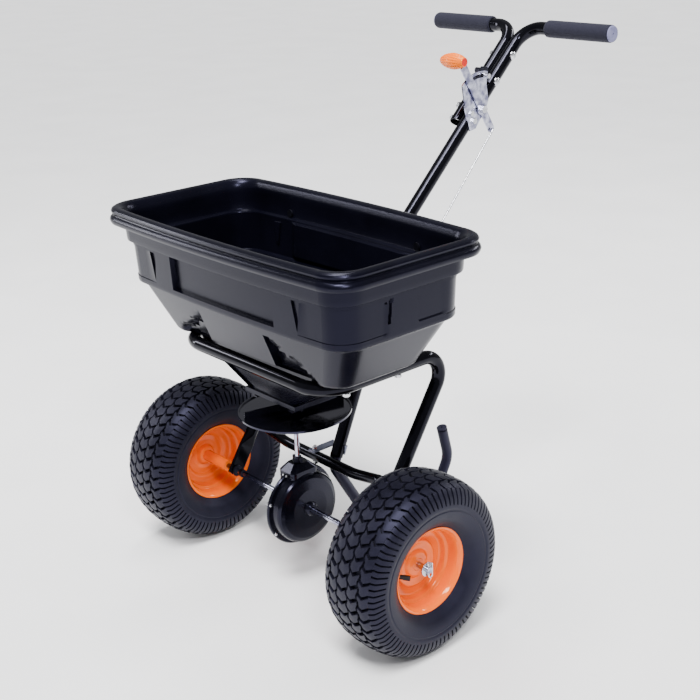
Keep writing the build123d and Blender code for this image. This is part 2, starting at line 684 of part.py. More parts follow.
def shaft_collar():
    # bush with two ears on top of the neck
    z0 = NECK_TOP
    bush = cyl(10, (0, 0, z0), (0, 0, z0 + 5))
    bush += cyl(7.5, (0, 0, z0), (0, 0, z0 + 10))
    for s in (-1, 1):
        bush += cyl(3.4, (s * 10.5, 0, z0), (s * 10.5, 0, z0 + 9))
    return bush - cyl(SHAFT_R + 0.08, (0, 0, z0 - 2), (0, 0, z0 + 20))


def face_gear():
    # teeth stand out of the disc towards -X and reach the pinion above the axle
    root, tip = 19.6, 12.6
    gear = spin_x([(24, 5.5), (24, 64.5), (root, 64.5), (root, 5.5)])
    gear += spin_x([(32.5, 5.5), (32.5, 9.5), (24, 12.5), (14, 12.5), (14, 5.5)])
    for i in range(GEAR_TEETH):
        t = math.radians(360 * (i + 0.5) / GEAR_TEETH)
        pl = Plane(origin=(root + 0.5, 0, AXLE_Z), x_dir=(0, math.cos(t), math.sin(t)), z_dir=(-1, 0, 0))
        top = Plane(origin=(tip, 0, AXLE_Z), x_dir=(0, math.cos(t), math.sin(t)), z_dir=(-1, 0, 0))
        gear += loft([pl * Pos(60, 0) * Rectangle(8.6, 4.2), top * Pos(60, 0) * Rectangle(8.6, 1.6)])
    return gear


def pinion():
    z0, z1 = PINION_Z - 3.6, PINION_Z + 3.6
    r_tip, r_root = 17.6, 11.6
    shape = cyl(r_root, (0, 0, z0), (0, 0, z1))
    for i in range(PINION_TEETH):
        t = math.radians(360 * i / PINION_TEETH)
        pts = [(r_root - 1.0, -2.1), (r_tip, -0.75), (r_tip, 0.75), (r_root - 1.0, 2.1)]
        tooth = make_face(Polyline(*pts, close=True))
        shape += extrude(Plane(origin=(0, 0, z0), x_dir=(math.cos(t), math.sin(t), 0), z_dir=(0, 0, 1)) * tooth, z1 - z0)
    return shape - cyl(SHAFT_R, (0, 0, z0 - 1), (0, 0, z1 + 1))


# ---------------------------------------------------------------- spinner
SHAFT_TOP = 446.0
VANE_ANGLE = 76.0


def spinner_shaft():
    shaft = cyl(SHAFT_R, (0, 0, PINION_Z - 6), (0, 0, SHAFT_TOP))
    shaft -= cyl(1.6, (-20, 0, DISC_Z + 18), (20, 0, DISC_Z + 18))
    return shaft - cyl(1.6, (-20, 0, SHAFT_TOP - 10), (20, 0, SHAFT_TOP - 10))


def spinner_disc():
    z = DISC_Z
    pts = [(SHAFT_R, z), (DISC_R - 3, z), (DISC_R, z + 2), (DISC_R, z + 5.5), (DISC_R - 2, z + 5.5), (DISC_R - 3, z + 3),
           (16, z + 3), (14, z + 6), (12, z + 22), (SHAFT_R, z + 22)]
    disc = spin_z(pts)
    for i in range(2):
        t = math.radians(180 * i + VANE_ANGLE)
        pl = Plane(origin=(0, 0, z + 2), x_dir=(math.cos(t), math.sin(t), 0), z_dir=(0, 0, 1))
        vane = pl * Pos(56, 0) * Rectangle(90, 3)
        foot = pl * Pos(56, 5) * Rectangle(90, 11)
        disc += extrude(vane, 19) + extrude(foot, 3)
    return disc - cyl(1.6, (-20, 0, DISC_Z + 18), (20, 0, DISC_Z + 18))


def spinner_pin():
    z = DISC_Z + 18
    return cyl(1.6, (-15, 0, z), (15, 0, z)) + cyl(3.0, (-17, 0, z), (-14, 0, z))


def agitator():
    # bent wire through the shaft top that stirs the load
    z = SHAFT_TOP - 10
    pts = [(-34, 0, z + 16), (-20, 0, z), (20, 0, z), (34, 0, z + 16)]
    return tube(pts, [5, 5], 1.6, 0)


# ---------------------------------------------------------------- axle and wheels
def axle():
    bar = rod_x(AXLE_R, -AXLE_HALF, AXLE_HALF, 0, AXLE_Z)
    for s in (-1, 1):
        bar -= cyl(1.8, (s * COTTER_X, 0, AXLE_Z - 20), (s * COTTER_X, 0, AXLE_Z + 20))
    return bar


COTTER_X = 349.2
WASHER_X = 344.0


def axle_collars():
    out = []
    for s in (-1, 1):
        out.append(rod_x(8, s * 180, s * 188, 0, AXLE_Z) - rod_x(AXLE_R, s * 170, s * 200, 0, AXLE_Z))
    return group(*out)


def axle_washers():
    out = []
    for s in (-1, 1):
        out.append(rod_x(13, s * WASHER_X, s * (WASHER_X + 2.4), 0, AXLE_Z)
                   - rod_x(AXLE_R, s * 300, s * 400, 0, AXLE_Z))
    return group(*out)


def cotter_pins():
    # hairpin with one leg through the axle and the other over it
    out = []
    for s in (-1, 1):
        x = s * COTTER_X
        pts = [(x, 0, AXLE_Z + 13), (x, 0, AXLE_Z - 16), (x, 8.6, AXLE_Z - 16), (x, 8.6, AXLE_Z + 11)]
        out.append(tube(pts, [4, 4], 1.6, 0))
    return group(*out)


def hub(s):
    bore = AXLE_R if s > 0 else AXLE_R + 0.07
    pts = [(HUB_IN, bore), (HUB_IN, HUB_R), (HUB_OUT - 1, HUB_R), (HUB_OUT, HUB_R - 1), (HUB_OUT, bore)]
    return spin_x([(s * x, r) for x, r in pts])


def rim(s):
    # two pressed halves: curled flanges, drop centre, stepped dish
    h, t = RIM_HALF, 2.4
    out = [(-h, 80), (-h + 5, 76), (-h + 7, 73), (-20, 72), (-15, 65), (15, 65), (20, 72), (h - 7, 73), (h - 5, 76), (h, 80)]
    inn = [(h, 80 - t), (h - 3, 74.5), (h - 5.4, 70.6), (21, 69.6), (16, 62.6), (-16, 62.6), (-21, 69.6), (-h + 5.4, 70.6),
           (-h + 3, 74.5), (-h, 80 - t)]
    barrel = spin_x(out + inn, x0=s * TRACK_HALF)
    step = [(-2.4, HUB_R), (-2.4, 20), (8, 24), (8, 40), (-2, 44), (-2, 63.5), (2, 63.5), (2, 46), (12, 42), (12, 22), (2.4, 18),
            (2.4, HUB_R)]
    web = spin_x([(s * x, r) for x, r in step], x0=s * TRACK_HALF)
    wheel = barrel + web
    a, b = valve_line(s)
    return wheel - cyl(4.0, a, b)


# the valve leans inward and outward from the rim's drop centre: distance from the wheel's middle, then (y, z)
VALVE_BASE = (20.0, -71.5, 10.6)
VALVE_TIP = (42.0, -46.0, 3.2)


def valve_line(s):
    return [(s * (TRACK_HALF + x), y, AXLE_Z + z) for x, y, z in (VALVE_BASE, VALVE_TIP)]


def valve(s):
    # rubber stem with a slightly thicker cap
    a, b = [Vector(*p) for p in valve_line(s)]
    return cyl(4.0, a, b) + cyl(4.7, a + (b - a) * 0.66, b)


def tyre(s):
    outside = [(0, TYRE_R), (28, 163.5), (50, 158), (62, 148), (67, 132), (66, 118), (58, 96), (47, 83), (39.8, 76.5), (38.6, 73.2)]
    inside = [(33, 73.2), (39.5, 84), (52, 99), (60, 118), (61, 132), (56, 144), (46, 151.5), (27, 156.5), (0, 158)]
    ring = outside + inside + [(-x, r) for x, r in reversed(inside[:-1])] + [(-x, r) for x, r in reversed(outside[1:])]
    return spin_x(ring, x0=s * TRACK_HALF)


def main():
    os.makedirs("parts", exist_ok=True)
    save(hopper(), "hopper")
    save(hopper_base(), "hopper_base")
    save(shutter(), "shutter")
    save(frame_bolts(), "frame_bolts")
    save(wall_screws(), "wall_screws")
    save(frame_loop(), "frame_loop")
    save(axle_bushes(), "axle_bushes")
    save(cross_tube(), "cross_tube")
    save(brace_strap(), "brace_strap")
    save(strap_bolt(), "strap_bolt")
    save(stem_tube(), "stem_tube")
    save(handle_tube(), "handle_tube")
    save(handle_bolts(), "handle_bolts")
    save(grip(1), "grip_right")
    save(grip(-1), "grip_left")
    save(grip_caps(), "grip_caps")
    save(stand_tube(), "stand_tube")
    save(stand_cap(), "stand_cap")
    save(quadrant_plate(), "quadrant_plate")
    save(quadrant_bolts(), "quadrant_bolt")
    save(pivot_bolt(), "pivot_bolt")
    save(stop_bolt(), "stop_bolt")
    save(stop_knob(), "stop_knob")
    save(lever_arm(), "lever_arm")
    save(lever_knob(), "lever_knob")
    save(control_rod(), "control_rod")
    save(gearbox_half(1), "gearbox_right")
    save(gearbox_half(-1), "gearbox_left")
    save(gearbox_screws(), "gearbox_screws")
    save(shaft_collar(), "shaft_collar")
    save(face_gear(), "face_gear")
    save(pinion(), "pinion")
    save(spinner_shaft(), "spinner_shaft")
    save(spinner_disc(), "spinner_disc")
    save(spinner_pin(), "spinner_pin")
    save(agitator(), "agitator")
    save(axle(), "axle")
    save(axle_collars(), "axle_collars")
    save(axle_washers(), "axle_washers")
    save(cotter_pins(), "cotter_pins")
    for s, side in ((1, "right"), (-1, "left")):
        save(hub(s), f"hub_{side}")
        save(rim(s), f"rim_{side}")
        save(valve(s), f"valve_{side}")
        save(tyre(s), f"tyre_{side}")


main()
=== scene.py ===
import math

import bmesh
import bpy
from mathutils import Matrix, Vector


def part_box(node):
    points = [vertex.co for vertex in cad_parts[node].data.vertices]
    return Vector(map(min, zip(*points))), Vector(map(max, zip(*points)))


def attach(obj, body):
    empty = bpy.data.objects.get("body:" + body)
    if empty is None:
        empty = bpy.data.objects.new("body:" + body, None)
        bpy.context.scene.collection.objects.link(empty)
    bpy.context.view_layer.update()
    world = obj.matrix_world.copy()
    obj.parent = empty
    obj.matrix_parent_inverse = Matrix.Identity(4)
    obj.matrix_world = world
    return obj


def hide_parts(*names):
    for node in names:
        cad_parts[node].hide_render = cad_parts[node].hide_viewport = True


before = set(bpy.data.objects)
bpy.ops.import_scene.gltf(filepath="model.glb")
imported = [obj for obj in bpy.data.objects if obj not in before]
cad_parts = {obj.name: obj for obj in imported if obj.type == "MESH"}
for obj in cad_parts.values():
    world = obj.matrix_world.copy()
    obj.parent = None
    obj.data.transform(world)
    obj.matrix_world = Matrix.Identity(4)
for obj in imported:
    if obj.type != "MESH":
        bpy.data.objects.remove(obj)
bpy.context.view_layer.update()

MM = 0.001
# The axle's place in the frame, metres
YS = -0.22525
AZ = 0.165
# Millimetres from the middle of the machine to the middle of a wheel, and the grips' line from the axle and floor
WHEEL_X = 309.0
GRIP_Y, GRIP_Z = YS + 0.616, 0.994
BODY = {1: "axle_set", -1: "wheel_left"}
SIDE = {1: "right", -1: "left"}


# ------------------------------------------------------------------ materials
def material(name, low, high, rough=(0.4, 0.5), metal=0.0, coat=0.0, scale=60.0, bump=0.0, bump_scale=400.0,
             stretch=None, sheen=0.0, spec=0.5, tint=(1, 1, 1)):
    """Principled material with noise-driven colour, roughness and relief; low and high are the two colours."""
    m = bpy.data.materials.new(name)
    m.use_nodes = True
    nt = m.node_tree
    nt.nodes.clear()
    out = nt.nodes.new("ShaderNodeOutputMaterial")
    p = nt.nodes.new("ShaderNodeBsdfPrincipled")
    nt.links.new(p.outputs[0], out.inputs[0])
    co = nt.nodes.new("ShaderNodeTexCoord")
    mp = nt.nodes.new("ShaderNodeMapping")
    nt.links.new(co.outputs["Object"], mp.inputs["Vector"])
    if stretch:
        mp.inputs["Scale"].default_value = stretch
    n = nt.nodes.new("ShaderNodeTexNoise")
    n.inputs["Scale"].default_value = scale
    n.inputs["Detail"].default_value = 4.0
    nt.links.new(mp.outputs[0], n.inputs["Vector"])
    ramp = nt.nodes.new("ShaderNodeValToRGB")
    ramp.color_ramp.elements[0].position = 0.35
    ramp.color_ramp.elements[0].color = (*low, 1)
    ramp.color_ramp.elements[1].position = 0.68
    ramp.color_ramp.elements[1].color = (*high, 1)
    nt.links.new(n.outputs["Fac"], ramp.inputs[0])
    nt.links.new(ramp.outputs[0], p.inputs["Base Color"])
    mr = nt.nodes.new("ShaderNodeMapRange")
    mr.inputs["To Min"].default_value = rough[0]
    mr.inputs["To Max"].default_value = rough[1]
    nt.links.new(n.outputs["Fac"], mr.inputs["Value"])
    nt.links.new(mr.outputs[0], p.inputs["Roughness"])
    p.inputs["Metallic"].default_value = metal
    p.inputs["Specular IOR Level"].default_value = spec
    if not metal:
        p.inputs["Specular Tint"].default_value = (*tint, 1)
    p.inputs["Coat Weight"].default_value = coat
    p.inputs["Coat Roughness"].default_value = 0.06
    p.inputs["Sheen Weight"].default_value = sheen
    if bump:
        nb = nt.nodes.new("ShaderNodeTexNoise")
        nb.inputs["Scale"].default_value = bump_scale
        nb.inputs["Detail"].default_value = 3.0
        nt.links.new(mp.outputs[0], nb.inputs["Vector"])
        b = nt.nodes.new("ShaderNodeBump")
        b.inputs["Strength"].default_value = bump
        b.inputs["Distance"].default_value = 0.0006
        nt.links.new(nb.outputs["Fac"], b.inputs["Height"])
        nt.links.new(b.outputs[0], p.inputs["Normal"])
    return m


# Bluish and orange tints of the gloss
COOL = (.62, .62, 1)
WARM = (1, .6, .3)
M = {
    "hopper": material("hopper_plastic", (.0012, .0012, .0030), (.0026, .0026, .0060), (.20, .30),
                       spec=.17, scale=9, bump=.10, bump_scale=900, tint=COOL),
    "spinner": material("spinner_plastic", (.0015, .0015, .003), (.003, .003, .005), (.07, .14),
                        scale=30, bump=.03, spec=.5, tint=COOL),
    "frame": material("frame_paint", (.0010, .0010, .0014), (.002, .002, .0028), (.07, .13),
                      coat=.1, spec=.12, scale=25, bump=.03, bump_scale=250, tint=COOL),
    "stand": material("stand_paint", (.006, .0055, .012), (.010, .009, .018), (.36, .48),
                      scale=25, bump=.08, bump_scale=500, spec=.3, tint=COOL),
    "zinc": material("zinc", (.45, .46, .50), (.68, .68, .70), (.18, .34), metal=1, scale=160, bump=.08),
    "strap": material("strap_zinc", (.13, .14, .21), (.20, .21, .29), (.38, .5), metal=.4, scale=60, bump=.08),
    "bright": material("bright_steel", (.16, .16, .25), (.62, .63, .75), (.05, .16),
                       metal=1, scale=38, bump=.9, bump_scale=60, stretch=(1, 2, 2)),
    "foam": material("grip_foam", (.006, .006, .010), (.014, .014, .022), (.72, .88),
                     scale=500, bump=.5, bump_scale=900, sheen=.06, spec=.3, tint=COOL),
    "cap": material("cap_plastic", (.13, .13, .24), (.19, .19, .31), (.5, .6), scale=80, bump=.05, spec=.3),
    "black": material("black_plastic", (.002, .002, .003), (.004, .004, .006), (.25, .38),
                      scale=60, bump=.06, spec=.25, tint=COOL),
    "gearbox": material("gearbox_plastic", (.0012, .0012, .0025), (.0025, .0025, .005), (.14, .24),
                        coat=.05, spec=.22, scale=14, bump=.04, bump_scale=200, tint=COOL),
    "nylon": material("gear_nylon", (.55, .54, .47), (.68, .67, .60), (.45, .55), scale=60, bump=.05),
    "rim": material("rim_paint", (.84, .115, .0006), (.90, .145, .001), (.14, .22),
                    coat=.25, spec=.3, scale=12, bump=.02, bump_scale=120, tint=WARM),
    "knob": material("knob_plastic", (.84, .14, .001), (.90, .18, .002), (.28, .36),
                     coat=.1, spec=.3, scale=40, bump=.04, tint=WARM),
    "knob_end": material("knob_end", (.50, .006, .001), (.62, .010, .002), (.3, .4),
                         spec=.3, scale=40, bump=.04),
    "valve": material("valve_rubber", (.003, .0025, .0025), (.006, .005, .005), (.5, .6),
                      scale=200, bump=.15, spec=.3),
    "tyre": material("tyre", (.0032, .0031, .0066), (.0056, .0054, .0105), (.40, .58),
                     scale=45, bump=.25, bump_scale=700, sheen=.01, spec=.27, tint=COOL),
}

# Which look each CAD node that stays visible wears
LOOK = {
    "hopper": ("hopper_base", "shutter"),
    "spinner": ("spinner_disc",),
    "frame": ("frame_loop", "cross_tube", "stem_tube", "handle_tube"),
    "stand": ("stand_tube", "stand_cap"),
    "zinc": ("frame_bolts", "strap_bolt", "handle_bolts", "quadrant_bolt", "pivot_bolt", "stop_bolt",
             "gearbox_screws", "spinner_pin", "cotter_pins", "axle_washers", "control_rod", "agitator"),
    "strap": ("brace_strap",),
    "bright": ("quadrant_plate", "lever_arm", "axle", "spinner_shaft"),
    "cap": ("grip_caps",),
    "black": ("wall_screws", "stop_knob", "shaft_collar", "axle_bushes", "axle_collars"),
    "gearbox": ("gearbox_right", "gearbox_left"),
    "nylon": ("face_gear", "pinion"),
    "rim": ("hub_right", "hub_left"),
    "valve": ("valve_right", "valve_left"),
}
for look, nodes in LOOK.items():
    for node in nodes:
        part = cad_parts[node]
        part.data.materials.clear()
        part.data.materials.append(M[look])


# ------------------------------------------------------------------ mesh helpers
def finish_mesh(name, verts, faces, look, body, nodes, angle=34.0):
    """Turns a point and face list into a piece that rides its body and replaces its CAD nodes."""
    me = bpy.data.meshes.new(name)
    me.from_pydata(verts, [], faces)
    me.validate()
    bm = bmesh.new()
    bm.from_mesh(me)
    bmesh.ops.recalc_face_normals(bm, faces=bm.faces)
    bm.to_mesh(me)
    bm.free()
    for f in me.polygons:
        f.use_smooth = True
    me.set_sharp_from_angle(angle=math.radians(angle))
    me.materials.append(M[look])
    o = bpy.data.objects.new(name, me)
    bpy.context.scene.collection.objects.link(o)
    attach(o, body)
    if nodes:
        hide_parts(*nodes)
    return o


def smooth_line(points, cuts):
    """Catmull-Rom through 2-D points; a point given twice stays a corner."""
    out = []
    n = len(points)
    for i in range(n - 1):
        p1, p2 = points[i], points[i + 1]
        if p1 == p2:
            continue
        p0 = points[i - 1] if i > 0 else p1
        p3 = points[i + 2] if i + 2 < n else p2
        for k in range(cuts):
            t = k / cuts
            out.append(tuple(
                0.5 * ((2 * b) + (-a + c) * t + (2 * a - 5 * b + 4 * c - d) * t * t
                       + (-a + 3 * b - 3 * c + d) * t ** 3)
                for a, b, c, d in zip(p0, p1, p2, p3)))
    out.append(points[-1])
    return out


def revolved(name, profile, x0, y0, z0, steps, look, body, nodes, closed=True, angle=34.0):
    """Turns an (x, r) outline in mm about a line along X."""
    verts, faces = [], []
    n = len(profile)
    for k in range(steps):
        a = 2 * math.pi * k / steps
        for x, r in profile:
            verts.append(((x0 + x) * MM, y0 + r * math.cos(a) * MM, z0 + r * math.sin(a) * MM))
    for k in range(steps):
        k2 = (k + 1) % steps
        for i in range(n if closed else n - 1):
            j = (i + 1) % n
            faces.append((k * n + i, k * n + j, k2 * n + j, k2 * n + i))
    return finish_mesh(name, verts, faces, look, body, nodes, angle)


def blend01(x, lo, hi):
    """Smooth step from 0 at lo to 1 at hi."""
    t = min(1.0, max(0.0, (x - lo) / (hi - lo)))
    return t * t * (3 - 2 * t)


# ------------------------------------------------------------------ hopper
# Bow radius of the long walls, mm
SIDE_R = 4100.0
WALL_T = 3.6


def stations():
    """Perimeter stations, one quarter-symmetric loop: kind, position and mirror signs."""
    long_x = [0, 30, 60, 90, 90.6, 93.4, 94, 110, 126, 140, 144.4, 146.6, 148, 165, 182, 192, 195.4, 196.6,
              201, 205, 209, 213.4, 214.6, 218, 228, 240, 252]
    side_f = [0.0, 0.12, 0.20, 0.28, 0.30, 0.34, 0.38, 0.42, 0.44, 0.50, 0.56, 0.66, 0.78, 0.9]
    loop = []
    for x in reversed(long_x[1:]):
        loop.append(("L", -x, -1))
    for x in long_x:
        loop.append(("L", x, -1))
    for k in range(13):
        loop.append(("C", k / 12, (1, -1)))
    for f in reversed(side_f[1:]):
        loop.append(("S", -f, 1))
    for f in side_f:
        loop.append(("S", f, 1))
    for k in range(13):
        loop.append(("C", k / 12, (1, 1)))
    for x in reversed(long_x[1:]):
        loop.append(("L", x, 1))
    for x in long_x:
        loop.append(("L", -x, 1))
    for k in range(13):
        loop.append(("C", k / 12, (-1, 1)))
    for f in reversed(side_f[1:]):
        loop.append(("S", f, -1))
    for f in side_f:
        loop.append(("S", -f, -1))
    for k in range(13):
        loop.append(("C", k / 12, (-1, -1)))
    return loop


LOOP = stations()


def slot_width(z):
    """Share of its full width that a tapered slot of the wall has at this height."""
    return min(1.0, max(0.04, (z - 600) / 55))


def ring(a, b, r, z, sink):
    """One horizontal loop of the shell; sink(kind, x, y, z) pushes a point inward along its normal."""
    low = b - SIDE_R
    cx = a - r
    cy = low + math.sqrt((SIDE_R - r) ** 2 - cx ** 2)
    tilt = math.atan2(cx, cy - low)
    reach = SIDE_R * math.sin(tilt)
    out = []
    for kind, pos, sign in LOOP:
        if kind == "L":
            x = pos if reach >= 252 else pos * reach / 252 if abs(pos) > 182 or reach < 182 else pos
            if reach < 252 and reach >= 182 and abs(pos) > 182:
                x = math.copysign(182 + (abs(pos) - 182) * (reach - 182) / 70, pos)
            elif reach >= 252:
                over = abs(pos) - 213
                x = pos if over <= 0 else math.copysign(213 + over * (reach - 213) / 39, pos)
            if 585 < z < 662 and 192 < abs(pos) < 218:
                x = math.copysign(205 + (abs(x) - 205) * slot_width(z), x)
            t = math.asin(x / SIDE_R)
            px, py = x, low + SIDE_R * math.cos(t)
            nx, ny = math.sin(t), math.cos(t)
            s = (1, sign)
            d = sink("L", abs(x), py, z)
        elif kind == "C":
            sx, sy = sign
            # corner sweep from the long side to the short side or back, by quadrant
            forward = (sx, sy) in ((1, -1), (-1, 1))
            k = pos if forward else 1 - pos
            t = tilt + (math.pi / 2 - tilt) * k
            px, py = cx + r * math.sin(t), cy + r * math.cos(t)
            nx, ny = math.sin(t), math.cos(t)
            s = (sx, sy)
            d = sink("C", px, py, z)
        else:
            px, py = a, pos * cy
            if 585 < z < 662 and -0.43 < pos < -0.29:
                py = -0.36 * cy + (pos + 0.36) * cy * slot_width(z)
            nx, ny = 1.0, 0.0
            s = (sign, 1)
            d = sink("S", px, py, z)
        px, py = px - nx * d, py - ny * d
        out.append((s[0] * px * MM, YS + s[1] * py * MM, z * MM))
    return out


def wall_sink(kind, x, y, z):
    """Relief of the moulded wall in mm inward: sunk panels, pilasters, tapered slots, block, corner cones."""
    d = 0.0
    if 586 <= z <= 662:
        inside = 604 < z < 655.5
        if kind == "L":
            if x < 145.5 and 597.5 < z < 659.5:
                d = 9.0
            if inside and abs(x - 205) < 9.0 * slot_width(z):
                d = 8.0 * min(1.0, (z - 600) / 14)
            if x > 216 and 597 < z < 655.5:
                d = 1.4
        elif kind == "S":
            if inside and abs(y + 37.5) < 5.2 * slot_width(z):
                d = 7.0 * min(1.0, (z - 600) / 14)
            if y > 28 and 603 < z < 655.5:
                d = 1.8
            if y < -47 and 597 < z < 655.5:
                d = 1.0
        else:
            d = 1.4 if 597 < z < 655.5 else 0.0
    elif z < 582 and kind == "L" and (x > 93.5 or z < 504):
        # the cone's edge runs from the block's top corner down and outwards
        fall = 583 - z
        edge = 62 + 1.33 * fall + .0046 * fall * fall
        d = 15.0 * blend01(z, 580, 560) * (1 - blend01(x, edge - 5, edge + 5)) * (1 - blend01(x, 176, 200))
    return d


def no_sink(kind, x, y, z):
    """Plain wall."""
    return 0.0


def panel_sink(kind, x, y, z):
    """The sunk panel as the inner side of the wall shows it."""
    return 9.0 if kind == "L" and x < 149 and 596 < z < 660.5 else 0.0


def build_hopper():
    """The whole moulded tub as one shell; a section is half length, half width, corner radius and height."""
    rings = []
    # outer skin, bottom to top
    outer = [
        (72, 56.5, 20, 404), (74, 58, 21, 405.5), (103, 64.5, 24, 424), (140, 73, 28, 447), (178, 82, 33, 472),
        (187, 84.5, 34, 480), (190, 85.5, 34, 489), (190, 86, 34, 492.4), (190.8, 86.8, 34, 493),
        (238, 102, 37, 493), (241, 104, 38, 494.2),
    ]
    for z in (497, 501, 503.6, 504.4, 508, 514, 521, 528, 536, 544, 552, 560, 567, 573, 577.5, 580.4):
        k = (z - 493) / (580.4 - 493)
        outer.append((242 + 54 * k, 105 + 34 * k, 38 + 8 * k, z))
    outer += [(299, 142.4, 47, 582.6), (303, 146.8, 48, 584), (305.2, 149.2, 48, 585.6)]
    for z in (587.5, 592, 597.0, 598.0, 600, 603.2, 606, 609, 613, 618, 624, 630, 636, 642, 648, 653, 655.2,
              655.8, 659.2, 659.9, 661):
        k = (z - 586) / 76
        outer.append((306 + 3 * k, 150 + 3 * k, 48, z))
    outer += [(310, 154, 48.4, 662.2), (314, 158, 49.4, 662.9), (316.4, 160.4, 50, 664.4), (317, 161, 50, 667)]
    for z in (674, 682, 690, 697):
        k = (z - 667) / 30
        outer.append((317 + 2 * k, 161 + 2 * k, 50 + k, z))
    # underside and face of the rolled rim
    outer += [
        (320.4, 163, 51.4, 703), (324, 166, 52, 706), (329, 170.6, 53, 704.6), (333, 174.4, 54, 700),
        (335, 176.4, 54.4, 696.5), (337, 178.2, 54.8, 695.2), (339.4, 180.4, 55.2, 696), (341, 182, 56, 699),
        (341.8, 182.8, 56, 703), (341, 182, 56, 707), (338.6, 179.6, 54.6, 710), (336.6, 177.6, 53.6, 711.4),
        (336.0, 177, 53.4, 713), (336.8, 177.8, 53.6, 714.8), (338.4, 179.4, 54.4, 717),
        (338.8, 179.8, 54.6, 720), (337.2, 178.2, 54, 723), (333.6, 174.6, 52.6, 725.4), (329, 170, 51, 726.2),
        (324.4, 165.4, 49.4, 725.2), (320.6, 161.6, 48.4, 722.4), (318.6, 159.6, 47.8, 718.6),
        (316.6, 157.8, 47.4, 714), (315.2, 156.8, 47, 709),
    ]
    for sec in outer:
        rings.append(ring(*sec, wall_sink if sec[3] < 662 else no_sink))
    # inner skin, top to bottom
    inner = [
        (314.4, 157.6, 47, 700), (313.6, 157.4, 47, 684), (313.2, 157, 47, 670), (312, 156, 46.6, 667),
        (308.6, 152, 46, 665.6), (306, 149.6, 45, 664.4), (305.2, 149, 45, 662),
    ]
    for sec in inner:
        rings.append(ring(*sec, no_sink))
    for z in (659.9, 659.2, 655.8, 655.2, 648, 640, 630, 620, 612, 606, 600, 598.0, 597.0, 592, 589):
        k = (z - 586) / 76
        rings.append(ring(306 + 3 * k - WALL_T, 150 + 3 * k - WALL_T, 45, z, panel_sink))
    rings.append(ring(301, 145, 44, 588, no_sink))
    rings.append(ring(294, 137, 43, 586, no_sink))
    for z in (580.4, 573, 560, 544, 528, 514, 504.4, 501.5):
        k = (z - 493) / (580.4 - 493)
        sink = wall_sink if z + 2 < 582 else no_sink
        rings.append(ring(242 + 54 * k - WALL_T, 105 + 34 * k - WALL_T, 35 + 8 * k, z + 2, sink))
    rings.append(ring(234, 98, 34, 498, no_sink))
    rings.append(ring(190, 84, 32, 497, no_sink))
    for a, b, r, z in ((184, 80, 31, 489), (136, 69.6, 25, 450), (99, 61, 21, 427), (70.4, 54.4, 17, 409),
                       (70, 54, 17, 404)):
        rings.append(ring(a, b, r, z, no_sink))
    n = len(LOOP)
    verts = [v for r in rings for v in r]
    faces = []
    m = len(rings)
    for i in range(m):
        j = (i + 1) % m
        for k in range(n):
            k2 = (k + 1) % n
            faces.append((i * n + k, i * n + k2, j * n + k2, j * n + k))
    finish_mesh("hopper_shell", verts, faces, "hopper", "chassis", ["hopper"], angle=28)


build_hopper()


